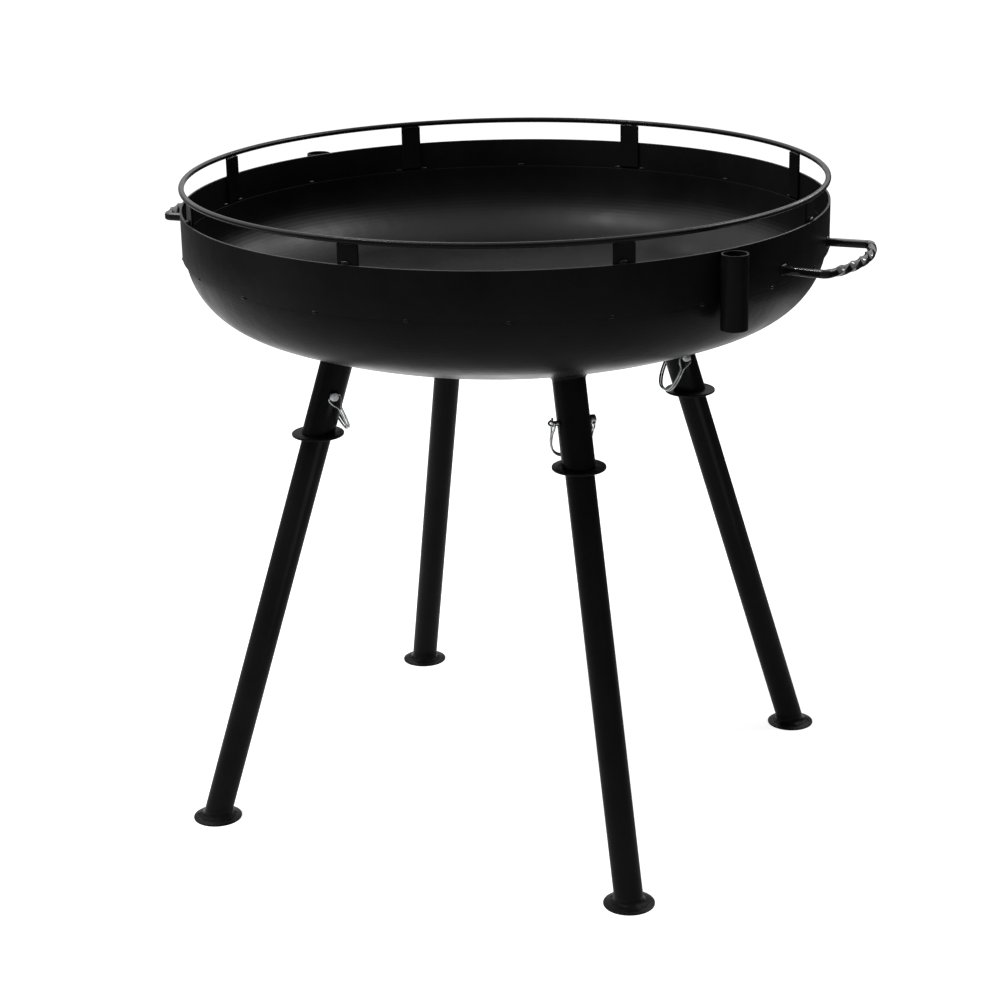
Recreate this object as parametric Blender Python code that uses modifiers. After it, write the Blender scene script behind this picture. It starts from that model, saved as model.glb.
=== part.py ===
# Fire pit grill: a dished steel bowl with a guard rail, two twisted bar handles,
# two holders for grill poles and four splayed legs that plug into sockets under the bowl.
# Each leg is held by a wire lock pin, whose spring bail snaps round the socket.
# Metres, +Z up. The origin is on the ground under the middle of the bowl, handles on +X and -X.

import math

import bmesh
import bpy
from mathutils import Matrix, Vector

# Clearances
SEAT_GAP = 0.0003             # between pieces that touch or are welded
SLIDE_CLEARANCE = 0.00035     # leg in its socket, on the radius
PIN_CLEARANCE = 0.00035       # pin in its holes, on the radius
WIRE_CLEARANCE = 0.0003       # wire ends in the pin's head, on the radius

# Bowl: an upright rim band lapped over the turned-up edge of a dish
BOWL_RADIUS = 0.381           # outside of the rim band
RIM_HEIGHT = 0.739            # top of the rim band above the ground
SHEET = 0.0025                # thickness of the band and the dish
BAND_HEIGHT = 0.0545
DISH_LAP = 0.0195             # how far the dish's edge reaches up inside the band
DISH_FLANGE = 0.010           # straight edge of the dish above its knuckle
KNUCKLE_RADIUS = 0.090        # outside radius of the turn from wall to floor
CROWN_RADIUS = 0.875          # outside radius of the shallow floor
BOWL_SIDES = 64
KNUCKLE_STEPS = 6
CROWN_STEPS = 5

# Guard rail and its flat posts
RAIL_ROD = 0.0066
RAIL_RISE = 0.0259            # middle of the rail above the rim
POST_COUNT = 8
POST_WIDTH = 0.025
POST_THICKNESS = 0.003
POST_FOOT_GAP = 0.003         # from the dish's edge up to the posts

# Handles: square bar, bent to a loop, with a twisted grip
HANDLE_BAR = 0.009            # side of the square bar
HANDLE_DROP = 0.040           # middle of the bar below the rim
HANDLE_SPREAD = 0.149         # between the middles of the two arms at the band
HANDLE_REACH = 0.0425         # from the band to the corner of the loop
GRIP_SPREAD = 0.158           # between the two corners, to which the arms spread
GRIP_BULGE = 0.017            # how far the curved grip stands past the corners
HANDLE_BEND = 0.007           # radius of the corners
TWIST_LENGTH = 0.093          # length of bar for one full turn
TWIST_STEPS = 32              # sections of bar for one full turn
TWIST_MARGIN = 0.004          # plain bar between each corner and the twist
CORNER_STEPS = 4
HANDLES = {"handle_right": 0.0, "handle_left": 180.0}

# Pole holders: upright tubes on the outside of the band
HOLDER_DIAMETER = 0.030
HOLDER_WALL = 0.002
HOLDER_LENGTH = 0.083
HOLDER_DROP = 0.0016          # top of the tube below the rim
STOP_THICKNESS = 0.003
HOLDERS = {"front": -26.4, "rear": 153.6}

# Legs and sockets
LEG_SPLAY = math.radians(17.467)
SOCKET_CIRCLE = 0.2082        # radius where the leg axes meet the dish
LEG_DIAMETER = 0.0334
LEG_WALL = 0.002
SOCKET_WALL = 0.002
SOCKET_LENGTH = 0.1022        # along the leg, from the dish to the collar
LEG_TOP_GAP = 0.020           # along the leg, from the dish to the leg's top end
COLLAR_DIAMETER = 0.062
COLLAR_THICKNESS = 0.003
FOOT_DIAMETER = 0.059
FOOT_EDGE = 0.002             # height of the foot's rim
FOOT_HEIGHT = 0.0045          # height of the foot under the leg
FOOT_FLAT = 0.043             # diameter of the flat top that the leg stands on
TUBE_SIDES = 24
DISC_SIDES = 32               # of the collars and feet

# Wire lock pins
PIN_RISE = 0.0502             # along the leg, from the collar's top up to the pin
PIN_DIAMETER = 0.0063
PIN_TIP = 0.007               # how far the point sticks out of the socket
PIN_CHAMFER = 0.001
HEAD_DIAMETER = 0.011
HEAD_LENGTH = 0.0065
WIRE_DIAMETER = 0.0025
BAIL_TILT = math.radians(23.0)  # of the bail's plane from the vertical, towards the bowl's middle
BAIL_FLOOR = 0.0014           # room under the bail for it to swing past the collar
BAIL_SHOULDER = 0.0022        # how far the bail stands out past the head's middle
BAIL_HEEL = 0.0040            # room between the socket and the wire beside the pin's point
BAIL_FORK = 0.0044            # down the bail, where its two strands start to close in
BAIL_JOINED = 0.0167          # down the bail, where they run side by side
BAIL_CURVE = 0.0150           # down the bail, where its loop starts to curve
BAIL_FULLNESS = 0.75          # power of the loop's curve, 1 for an ellipse and less for a squarer one
BAIL_STEPS = 12
STRAND_GAP = 0.0006           # between the two strands where they run together
HEAD_BEND = 0.00175           # radius of the bend where a strand leaves the head
EYE_RISE = 0.0041             # how far the eye reaches up past the pin's middle
PIN_SIDES = 16
WIRE_HOLE_SIDES = 12
# Leg name: angle about the bowl, and the side that the pin's head is on
LEGS = {
    "front_right": (-45.0, 1),
    "rear_right": (45.0, -1),
    "rear_left": (135.0, -1),
    "front_left": (225.0, 1),
}

# Finishes: colour, roughness and metallic
BLACK = ((0.012, 0.012, 0.013), 0.45, 0.0)
ZINC = ((0.55, 0.56, 0.56), 0.30, 1.0)

WELD_DISTANCE = 0.00005       # joins the ends of turned surfaces and the caps of bars

# Places that follow from the sizes
HALF_STEP = math.pi / BOWL_SIDES    # turns the flats of the bowl's rings to the handles and posts
BAND_INSIDE = BOWL_RADIUS - SHEET
BAND_BOTTOM = RIM_HEIGHT - BAND_HEIGHT
DISH_RADIUS = BAND_INSIDE - SEAT_GAP
DISH_EDGE = BAND_BOTTOM + DISH_LAP
KNUCKLE_HEIGHT = DISH_EDGE - DISH_FLANGE
KNUCKLE_CENTRE = DISH_RADIUS - KNUCKLE_RADIUS
CROWN_HEIGHT = KNUCKLE_HEIGHT + math.sqrt((CROWN_RADIUS - KNUCKLE_RADIUS) ** 2 - KNUCKLE_CENTRE ** 2)
SOCKET_TOP = CROWN_HEIGHT - math.sqrt(CROWN_RADIUS ** 2 - SOCKET_CIRCLE ** 2)
COLLAR_TOP = SOCKET_TOP - SOCKET_LENGTH * math.cos(LEG_SPLAY)
SOCKET_BORE = LEG_DIAMETER / 2 + SLIDE_CLEARANCE
SOCKET_OUTSIDE = SOCKET_BORE + SOCKET_WALL
PIN_HOLE = PIN_DIAMETER / 2 + PIN_CLEARANCE
PIN_DEPTH = SOCKET_LENGTH - PIN_RISE
HEAD_SEAT = SOCKET_OUTSIDE + SEAT_GAP
HEAD_MIDDLE = HEAD_SEAT + HEAD_LENGTH / 2
TIP_END = SOCKET_OUTSIDE + PIN_TIP
WIRE = WIRE_DIAMETER / 2


def clear_scene():
    for thing in list(bpy.data.objects):
        bpy.data.objects.remove(thing)


def make_collection(name):
    collection = bpy.data.collections.new(name)
    bpy.context.scene.collection.children.link(collection)
    return collection


def make_material(name, colour, roughness, metallic):
    material = bpy.data.materials.new(name)
    material.use_nodes = True
    shader = material.node_tree.nodes["Principled BSDF"]
    shader.inputs["Base Color"].default_value = (*colour, 1.0)
    shader.inputs["Roughness"].default_value = roughness
    shader.inputs["Metallic"].default_value = metallic
    return material


def add_part(name, data, finish):
    part = bpy.data.objects.new(name, data)
    part.data.materials.append(make_material(name, *finish))
    parts.objects.link(part)
    return part


def add_cutter(name, data):
    cutter = bpy.data.objects.new(name, data)
    cutter.display_type = "WIRE"
    cutter.hide_render = True
    cutters.objects.link(cutter)
    return cutter


def cut(part, cutter):
    modifier = part.modifiers.new("cut " + cutter.name, "BOOLEAN")
    modifier.operation = "DIFFERENCE"
    modifier.solver = "EXACT"
    modifier.object = cutter


def smooth(mesh):
    mesh.shade_smooth()
    mesh.set_sharp_from_angle(angle=math.radians(30.0))


def outline_mesh(name, outline, closed):
    """A profile in the XZ plane, as edges only, for turning about Z."""
    mesh = bpy.data.meshes.new(name)
    edges = [(i, i + 1) for i in range(len(outline) - 1)]
    if closed:
        edges.append((len(outline) - 1, 0))
    mesh.from_pydata([(r, 0.0, z) for r, z in outline], edges, [])
    return mesh


def turn(part, sides):
    screw = part.modifiers.new("turn", "SCREW")
    screw.axis = "Z"
    screw.angle = 2 * math.pi
    screw.steps = sides
    screw.render_steps = sides
    screw.use_merge_vertices = True
    screw.merge_threshold = WELD_DISTANCE
    screw.use_smooth_shade = True


def ring_outline(outside, inside, top, bottom):
    return [(outside, top), (outside, bottom), (inside, bottom), (inside, top)]


def rod_mesh(name, radius, length, sides):
    """A solid round rod along Z, its middle at the origin."""
    mesh = bpy.data.meshes.new(name)
    shape = bmesh.new()
    bmesh.ops.create_cone(shape, cap_ends=True, segments=sides, radius1=radius, radius2=radius, depth=length)
    shape.to_mesh(mesh)
    shape.free()
    smooth(mesh)
    return mesh


def block_mesh(name, size):
    mesh = bpy.data.meshes.new(name)
    shape = bmesh.new()
    bmesh.ops.create_cube(shape, size=1.0, matrix=Matrix.Diagonal((*size, 1.0)))
    shape.to_mesh(mesh)
    shape.free()
    return mesh


def around(radius, angle, height=0.0):
    """A point at an angle in degrees about the bowl's axis."""
    turned = math.radians(angle)
    return Vector((radius * math.cos(turned), radius * math.sin(turned), height))


def flat_distance(radius):
    """From the bowl's axis to the flats of one of its rings."""
    return radius * math.cos(HALF_STEP)


# Bowl

def dish_outline(offset=0.0):
    """Outer skin of the dish from its top edge to the middle, moved outwards by an offset."""
    radius = KNUCKLE_RADIUS + offset
    crown = CROWN_RADIUS + offset
    meeting = math.acos(KNUCKLE_CENTRE / (CROWN_RADIUS - KNUCKLE_RADIUS))
    points = [(DISH_RADIUS + offset, DISH_EDGE)]
    for i in range(KNUCKLE_STEPS):
        angle = meeting * i / KNUCKLE_STEPS
        points.append((KNUCKLE_CENTRE + radius * math.cos(angle), KNUCKLE_HEIGHT - radius * math.sin(angle)))
    for i in range(CROWN_STEPS + 1):
        angle = meeting + (math.pi / 2 - meeting) * i / CROWN_STEPS
        points.append((crown * math.cos(angle), CROWN_HEIGHT - crown * math.sin(angle)))
    points[-1] = (0.0, CROWN_HEIGHT - crown)
    return points


def build_dish():
    dish = add_part("bowl_dish", outline_mesh("bowl_dish", dish_outline(), closed=False), BLACK)
    dish.rotation_euler.z = HALF_STEP
    turn(dish, BOWL_SIDES)
    sheet = dish.modifiers.new("sheet", "SOLIDIFY")
    sheet.thickness = SHEET
    sheet.offset = -1.0
    sheet.use_even_offset = True


def build_band():
    outline = ring_outline(BOWL_RADIUS, BAND_INSIDE, RIM_HEIGHT, BAND_BOTTOM)
    band = add_part("rim_band", outline_mesh("rim_band", outline, closed=True), BLACK)
    band.rotation_euler.z = HALF_STEP
    turn(band, BOWL_SIDES)


# Guard rail

def rail_radius():
    """The rail's outside is flush with the outside of the band."""
    return BOWL_RADIUS - RAIL_ROD / 2


def rail_height():
    return RIM_HEIGHT + RAIL_RISE


def build_rail():
    path = bpy.data.curves.new("guard_rail", "CURVE")
    path.dimensions = "3D"
    path.bevel_depth = RAIL_ROD / 2
    path.bevel_resolution = 2
    spline = path.splines.new("POLY")
    spline.points.add(BOWL_SIDES - 1)
    for i, point in enumerate(spline.points):
        place = around(rail_radius(), 360.0 * (i + 0.5) / BOWL_SIDES, rail_height())
        point.co = (*place, 1.0)
    spline.use_cyclic_u = True
    add_part("guard_rail", path, BLACK)


def build_posts():
    bottom = DISH_EDGE + POST_FOOT_GAP
    top = rail_height() - RAIL_ROD / 2 - SEAT_GAP
    mesh = block_mesh("rail_post", (POST_THICKNESS, POST_WIDTH, top - bottom))
    middle = flat_distance(BAND_INSIDE) - SEAT_GAP - POST_THICKNESS / 2
    for i in range(POST_COUNT):
        angle = 360.0 * i / POST_COUNT
        post = add_part("rail_post_%d" % (i + 1), mesh.copy(), BLACK)
        post.location = around(middle, angle, (top + bottom) / 2)
        post.rotation_euler.z = math.radians(angle)


# Handles

def arc_points(centre, radius, start, end, steps):
    return [
        centre + radius * Vector((math.cos(a), math.sin(a)))
        for a in (start + (end - start) * i / steps for i in range(steps + 1))
    ]


def grip_arc():
    """Centre and radius of the grip's curve, through both corners and the bulge."""
    half = GRIP_SPREAD / 2
    corner = BOWL_RADIUS + HANDLE_REACH
    radius = (half ** 2 + GRIP_BULGE ** 2) / (2 * GRIP_BULGE)
    return Vector((corner + GRIP_BULGE - radius, 0.0)), radius


def arm_line():
    """Where the middle of the arm on the +Y side meets the band, and its direction to the corner."""
    across = HANDLE_SPREAD / 2
    root = Vector((math.sqrt(BOWL_RADIUS ** 2 - across ** 2), across))
    corner = Vector((BOWL_RADIUS + HANDLE_REACH, GRIP_SPREAD / 2))
    return root, (corner - root).normalized()


def corner_turn():
    """Centre of a corner's bend, which touches the straight arm and the curved grip inside."""
    centre, radius = grip_arc()
    root, arm = arm_line()
    start = root + HANDLE_BEND * Vector((arm.y, -arm.x)) - centre
    along = start.dot(arm)
    reach = math.sqrt(along ** 2 - start.length_squared + (radius - HANDLE_BEND) ** 2) - along
    return centre + start + reach * arm


def handle_path():
    """Middle of the bar in plan from one arm to the other, and the stretch that is twisted."""
    centre, radius = grip_arc()
    root, arm = arm_line()
    bend = corner_turn()
    meeting = math.atan2(bend.y, bend.x - centre.x)
    touch = math.atan2(arm.x, -arm.y)
    grip_steps = math.ceil(2 * meeting * radius / TWIST_LENGTH * TWIST_STEPS)
    start = root - 2 * HANDLE_BAR * arm
    near = [Vector((start.x, -start.y))]
    near += arc_points(Vector((bend.x, -bend.y)), HANDLE_BEND, -touch, -meeting, CORNER_STEPS)
    grip = arc_points(centre, radius, -meeting, meeting, grip_steps)
    far = arc_points(bend, HANDLE_BEND, meeting, touch, CORNER_STEPS)
    far.append(start)
    return near[:-1] + grip + far[1:], 2 * meeting * radius, len(near) - 1, len(grip)


def twist_angle(distance, length):
    """Turn of the bar at a distance along the grip: plain ends and an even twist of whole quarter turns."""
    twisted = length - 2 * TWIST_MARGIN
    quarters = round(4 * twisted / TWIST_LENGTH)
    share = min(max((distance - TWIST_MARGIN) / twisted, 0.0), 1.0)
    return share * quarters * math.pi / 2


def handle_curve(name):
    """Square bar: a bevel of four sides, tilted point by point along the grip."""
    places, length, first, count = handle_path()
    path = bpy.data.curves.new(name, "CURVE")
    path.dimensions = "3D"
    path.twist_mode = "Z_UP"
    path.bevel_depth = HANDLE_BAR / math.sqrt(2)
    path.bevel_resolution = 0
    path.use_fill_caps = True
    spline = path.splines.new("POLY")
    spline.points.add(len(places) - 1)
    for i, place in enumerate(places):
        distance = length * (i - first) / (count - 1)
        spline.points[i].co = (place.x, place.y, 0.0, 1.0)
        spline.points[i].tilt = math.pi / 4 + twist_angle(distance, length)
    return path


def as_mesh(name, curve):
    """The bar as a closed mesh, so that its ends can be cut to the band."""
    holder = bpy.data.objects.new(name + " path", curve)
    parts.objects.link(holder)
    bpy.context.view_layer.update()
    evaluated = holder.evaluated_get(bpy.context.evaluated_depsgraph_get())
    mesh = bpy.data.meshes.new_from_object(evaluated)
    shape = bmesh.new()
    shape.from_mesh(mesh)
    bmesh.ops.remove_doubles(shape, verts=shape.verts, dist=WELD_DISTANCE)
    shape.to_mesh(mesh)
    shape.free()
    bpy.data.objects.remove(holder)
    return mesh


def build_handles():
    skin = BOWL_RADIUS + SEAT_GAP
    outline = [(0.0, RIM_HEIGHT), (skin, RIM_HEIGHT), (skin, BAND_BOTTOM), (0.0, BAND_BOTTOM)]
    inside_band = add_cutter("inside of band", outline_mesh("inside of band", outline, closed=False))
    inside_band.rotation_euler.z = HALF_STEP
    turn(inside_band, BOWL_SIDES)
    bar = as_mesh("handle", handle_curve("handle"))
    for name, angle in HANDLES.items():
        handle = add_part(name, bar.copy(), BLACK)
        handle.location.z = RIM_HEIGHT - HANDLE_DROP
        handle.rotation_euler.z = math.radians(angle)
        cut(handle, inside_band)
        smooth(handle.data)


# Pole holders

def build_holders():
    top = RIM_HEIGHT - HOLDER_DROP
    bottom = top - HOLDER_LENGTH
    outside = HOLDER_DIAMETER / 2
    bore = outside - HOLDER_WALL
    stop_radius = bore - SEAT_GAP
    for name, angle in HOLDERS.items():
        place = around(BOWL_RADIUS + SEAT_GAP + outside, angle)
        outline = ring_outline(outside, bore, top, bottom)
        tube = add_part("pole_holder_" + name, outline_mesh("pole_holder", outline, closed=True), BLACK)
        tube.location = place
        turn(tube, TUBE_SIDES)
        stop = add_part("pole_stop_" + name, rod_mesh("pole_stop", stop_radius, STOP_THICKNESS, TUBE_SIDES), BLACK)
        stop.location = (place.x, place.y, bottom + STOP_THICKNESS / 2)
        stop.rotation_euler.z = math.pi / TUBE_SIDES


# Legs

def axis_radius(height):
    """Distance of a leg's axis from the bowl's axis at a height above the ground."""
    return SOCKET_CIRCLE + (SOCKET_TOP - height) * math.tan(LEG_SPLAY)


def leg_frame(name, angle):
    """An empty where the leg's axis meets the dish: Z up the leg, Y round the bowl."""
    frame = bpy.data.objects.new("axis_" + name, None)
    frame.location = around(SOCKET_CIRCLE, angle, SOCKET_TOP)
    frame.rotation_euler = (0.0, -LEG_SPLAY, math.radians(angle))
    parts.objects.link(frame)
    return frame


def flat_below(name, height):
    """A block wider than the grill, to end a slanting tube against a level plate."""
    wide = 4 * BOWL_RADIUS
    block = add_cutter(name, block_mesh(name, (wide, wide, BOWL_RADIUS)))
    block.location.z = height - BOWL_RADIUS / 2
    return block


def build_shared_cutters():
    outline = [(0.0, RIM_HEIGHT), (DISH_RADIUS + SEAT_GAP, RIM_HEIGHT)] + dish_outline(SEAT_GAP)
    dish_body = add_cutter("body of dish", outline_mesh("body of dish", outline, closed=False))
    dish_body.rotation_euler.z = HALF_STEP
    turn(dish_body, BOWL_SIDES)
    return {
        "dish": dish_body,
        "collar": flat_below("level of collar", COLLAR_TOP + SEAT_GAP),
        "foot": flat_below("level of foot", FOOT_HEIGHT + SEAT_GAP),
    }


def pin_hole(name, frame):
    """A rod through socket and leg, round the pin."""
    hole = add_cutter("pin hole " + name, rod_mesh("pin hole", PIN_HOLE, 3 * SOCKET_OUTSIDE, PIN_SIDES))
    hole.parent = frame
    hole.location = (0.0, 0.0, -PIN_DEPTH)
    hole.rotation_euler.x = math.pi / 2
    return hole


def build_socket(name, frame, shared, hole):
    spare = SOCKET_OUTSIDE
    outline = ring_outline(SOCKET_OUTSIDE, SOCKET_BORE, spare, -SOCKET_LENGTH - spare)
    socket = add_part("leg_socket_" + name, outline_mesh("leg_socket", outline, closed=True), BLACK)
    socket.parent = frame
    turn(socket, TUBE_SIDES)
    cut(socket, shared["dish"])
    cut(socket, shared["collar"])
    cut(socket, hole)


def build_leg(name, frame, shared, hole):
    outside = LEG_DIAMETER / 2
    length = SOCKET_TOP / math.cos(LEG_SPLAY) + LEG_DIAMETER
    outline = ring_outline(outside, outside - LEG_WALL, -LEG_TOP_GAP, -length)
    leg = add_part("leg_tube_" + name, outline_mesh("leg_tube", outline, closed=True), BLACK)
    leg.parent = frame
    turn(leg, TUBE_SIDES)
    cut(leg, shared["foot"])
    cut(leg, hole)


def build_collar(name, angle, frame):
    disc = rod_mesh("leg_collar", COLLAR_DIAMETER / 2, COLLAR_THICKNESS, DISC_SIDES)
    collar = add_part("leg_collar_" + name, disc, BLACK)
    middle = COLLAR_TOP - COLLAR_THICKNESS / 2
    collar.location = around(axis_radius(middle), angle, middle)
    collar.rotation_euler.z = math.radians(angle)
    hole = rod_mesh("collar bore", LEG_DIAMETER / 2 + SEAT_GAP, COLLAR_DIAMETER, TUBE_SIDES)
    bore = add_cutter("collar bore " + name, hole)
    bore.parent = frame
    bore.location = (0.0, 0.0, -SOCKET_LENGTH)
    cut(collar, bore)


def build_foot(name, angle):
    edge = FOOT_DIAMETER / 2
    outline = [(0.0, FOOT_HEIGHT), (FOOT_FLAT / 2, FOOT_HEIGHT), (edge, FOOT_EDGE), (edge, 0.0), (0.0, 0.0)]
    foot = add_part("foot_disc_" + name, outline_mesh("foot_disc", outline, closed=False), BLACK)
    foot.location = around(axis_radius(FOOT_HEIGHT), angle)
    turn(foot, DISC_SIDES)


# Wire lock pins

def pin_frame(side):
    """Turn from the leg's frame to the pin's: Z towards the head, X down the bail."""
    lean = BAIL_TILT + LEG_SPLAY
    down = Vector((-math.sin(lean), 0.0, -math.cos(lean)))
    head = Vector((0.0, side, 0.0))
    turn_axes = Matrix((down, head.cross(down), head)).transposed()
    return turn_axes.to_euler()


def pin_outline():
    """Outline from the head's end to the point, both with a chamfer."""
    head = HEAD_DIAMETER / 2
    shank = PIN_DIAMETER / 2
    top = HEAD_SEAT + HEAD_LENGTH
    return [
        (0.0, top),
        (head - PIN_CHAMFER, top),
        (head, top - PIN_CHAMFER),
        (head, HEAD_SEAT),
        (shank, HEAD_SEAT),
        (shank, PIN_CHAMFER - TIP_END),
        (shank - PIN_CHAMFER, -TIP_END),
        (0.0, -TIP_END),
    ]


def build_pin(name, side, frame):
    pin = add_part("lock_pin_" + name, outline_mesh("lock_pin", pin_outline(), closed=False), ZINC)
    pin.parent = frame
    pin.location = (0.0, 0.0, -PIN_DEPTH)
    pin.rotation_euler = pin_frame(side)
    turn(pin, PIN_SIDES)
    hole = rod_mesh("cross hole", WIRE + WIRE_CLEARANCE, 2 * HEAD_DIAMETER, WIRE_HOLE_SIDES)
    cross = add_cutter("cross hole " + name, hole)
    cross.parent = pin
    cross.location = (0.0, 0.0, HEAD_MIDDLE)
    cross.rotation_euler.x = math.pi / 2
    cut(pin, cross)
    return pin


def bail_depth():
    """From the pin's axis to the lowest wire, which hangs just over the collar."""
    strands = (STRAND_GAP / 2 + WIRE) * math.sin(BAIL_TILT)
    fall = PIN_RISE * math.cos(LEG_SPLAY) - BAIL_FLOOR - WIRE - strands
    return fall / math.cos(BAIL_TILT)


def eased(value):
    """A smooth step from 0 to 1."""
    value = min(max(value, 0.0), 1.0)
    return value * value * (3 - 2 * value)


def strand_place(down, apart):
    """Sideways place of a strand: apart beside the pin, and side by side with the other lower down."""
    together = STRAND_GAP / 2 + WIRE
    return apart + (together - apart) * eased((down - BAIL_FORK) / (BAIL_JOINED - BAIL_FORK))


def bail_strand():
    """Middle of one strand, from inside the head to the closing bend past the pin's point.

    X runs down the bail, Y to the strand's side and Z towards the head, from the head's middle."""
    beside_head = HEAD_DIAMETER / 2 + WIRE + SEAT_GAP
    beside_tip = PIN_DIAMETER / 2 + WIRE + PIN_CLEARANCE
    far = -(HEAD_MIDDLE + SOCKET_OUTSIDE + WIRE + BAIL_HEEL)
    points = head_end(beside_head)
    for share in (0.3, 0.6, 0.8):
        down = share * BAIL_CURVE
        points.append(Vector((down, strand_place(down, beside_head), share * BAIL_SHOULDER)))
    middle = (BAIL_SHOULDER + far) / 2
    half = (BAIL_SHOULDER - far) / 2
    for i in range(BAIL_STEPS + 1):
        angle = math.pi * i / BAIL_STEPS
        across = math.copysign(abs(math.cos(angle)) ** BAIL_FULLNESS, math.cos(angle))
        down = BAIL_CURVE + (bail_depth() - BAIL_CURVE) * math.sin(angle) ** BAIL_FULLNESS
        apart = beside_head if i < BAIL_STEPS / 2 else beside_tip
        points.append(Vector((down, strand_place(down, apart), middle + half * across)))
    return points + tip_eye(far, beside_tip)


def head_end(beside_head):
    """The strand's end in the head's cross hole, and its bend down the outside of the head."""
    corner = 0.3 * HEAD_BEND
    return [
        Vector((0.0, beside_head - 2 * HEAD_BEND, 0.0)),
        Vector((0.0, beside_head - HEAD_BEND, 0.0)),
        Vector((corner, beside_head - corner, 0.0)),
        Vector((HEAD_BEND, beside_head, 0.0)),
    ]


def tip_eye(far, beside_tip):
    """The strand beside the pin's point: up past it, out along it, and down to the closing bend."""
    end = -(HEAD_MIDDLE + TIP_END) + PIN_CHAMFER
    rise_and_reach = ((-1.2, 0.0), (0.5, 0.0), (0.9, 0.2), (1.0, 0.5), (0.8, 0.8), (0.3, 1.0))
    points = [
        Vector((-rise * EYE_RISE, beside_tip, far + reach * (end - far)))
        for rise, reach in rise_and_reach
    ]
    for angle in (30.0, 60.0, 90.0):
        turned = math.radians(angle)
        points.append(Vector((0.0, beside_tip * math.cos(turned), end - beside_tip * math.sin(turned))))
    return points


def build_bail(name, pin):
    strand = bail_strand()
    mirrored = [Vector((p.x, -p.y, p.z)) for p in reversed(strand[:-1])]
    path = bpy.data.curves.new("pin_bail", "CURVE")
    path.dimensions = "3D"
    path.bevel_depth = WIRE
    path.bevel_resolution = 2
    path.use_fill_caps = True
    spline = path.splines.new("POLY")
    places = strand + mirrored
    spline.points.add(len(places) - 1)
    for point, place in zip(spline.points, places):
        point.co = (*place, 1.0)
    bail = add_part("pin_bail_" + name, path, ZINC)
    bail.parent = pin
    bail.location = (0.0, 0.0, HEAD_MIDDLE)


def build_legs():
    shared = build_shared_cutters()
    for name, (angle, side) in LEGS.items():
        frame = leg_frame(name, angle)
        hole = pin_hole(name, frame)
        build_socket(name, frame, shared, hole)
        build_leg(name, frame, shared, hole)
        build_collar(name, angle, frame)
        build_foot(name, angle)
        pin = build_pin(name, side, frame)
        build_bail(name, pin)


clear_scene()
parts = make_collection("fire_pit_grill")
cutters = make_collection("cutters")
build_dish()
build_band()
build_rail()
build_posts()
build_handles()
build_holders()
build_legs()
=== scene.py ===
import math

import bmesh
import bpy
import numpy as np
from mathutils import Matrix, Vector


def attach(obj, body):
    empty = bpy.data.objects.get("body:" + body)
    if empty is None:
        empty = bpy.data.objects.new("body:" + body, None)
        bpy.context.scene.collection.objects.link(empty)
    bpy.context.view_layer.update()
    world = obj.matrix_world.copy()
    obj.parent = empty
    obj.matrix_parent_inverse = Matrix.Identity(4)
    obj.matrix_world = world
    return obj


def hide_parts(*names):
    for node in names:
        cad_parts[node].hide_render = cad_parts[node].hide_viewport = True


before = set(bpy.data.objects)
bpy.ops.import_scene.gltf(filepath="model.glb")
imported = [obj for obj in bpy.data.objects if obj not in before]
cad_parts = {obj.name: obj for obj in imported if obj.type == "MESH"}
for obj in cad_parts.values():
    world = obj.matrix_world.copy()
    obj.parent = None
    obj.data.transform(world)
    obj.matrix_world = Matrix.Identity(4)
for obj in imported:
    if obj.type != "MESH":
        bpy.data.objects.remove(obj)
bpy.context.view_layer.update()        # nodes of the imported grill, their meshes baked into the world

root = "fire_pit_frame"
crease = 40.0            # degrees: smooth shading stops at sharper edges
print("frame loaded:", len(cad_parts), "nodes")


# Meshes from arrays

def meshFromGrid(name, grid, closeRows=False, closeColumns=False, capEnds=False, sharp=crease):
    # Rows by columns of points. Each cell between neighbours is one face; a closed direction joins
    # its last line to its first; end caps are one face over the first row and one over the last.
    # Points that fall together, as at a pole, are merged, and the faces are turned outwards.
    rows, columns = grid.shape[:2]
    r, c = np.meshgrid(np.arange(rows if closeRows else rows - 1),
                       np.arange(columns if closeColumns else columns - 1), indexing="ij")
    nextR, nextC = (r + 1) % rows, (c + 1) % columns
    quads = np.stack([r * columns + c, nextR * columns + c, nextR * columns + nextC, r * columns + nextC], -1)
    corners, sizes = quads.reshape(-1), np.full(quads[..., 0].size, 4)
    if capEnds:
        lastRow = (rows - 1) * columns + np.arange(columns)
        corners = np.concatenate([corners, np.arange(columns)[::-1], lastRow])
        sizes = np.concatenate([sizes, [columns, columns]])
    mesh = bpy.data.meshes.new(name)
    mesh.vertices.add(rows * columns)
    mesh.vertices.foreach_set("co", grid.reshape(-1).astype(np.float32))
    mesh.loops.add(len(corners))
    mesh.loops.foreach_set("vertex_index", corners.astype(np.int32))
    mesh.polygons.add(len(sizes))
    mesh.polygons.foreach_set("loop_start", np.concatenate([[0], np.cumsum(sizes)[:-1]]).astype(np.int32))
    mesh.update(calc_edges=True)
    work = bmesh.new()
    work.from_mesh(mesh)
    bmesh.ops.remove_doubles(work, verts=work.verts, dist=1e-6)
    bmesh.ops.recalc_face_normals(work, faces=work.faces)
    work.to_mesh(mesh)
    work.free()
    shadeTo(mesh, sharp)
    return mesh


def shadeTo(mesh, sharp=crease):
    # Smooth shading up to the sharp angle
    mesh.shade_smooth()
    mesh.set_sharp_from_angle(angle=math.radians(sharp))


def joinGrids(name, grids, **closing):
    # Several closed grids of one piece, such as the tacks of a seam, in one mesh
    work = bmesh.new()
    for grid in grids:
        part = meshFromGrid(name, grid, **closing)
        work.from_mesh(part)
        bpy.data.meshes.remove(part)
    mesh = bpy.data.meshes.new(name)
    work.to_mesh(mesh)
    work.free()
    shadeTo(mesh)
    return mesh


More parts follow.
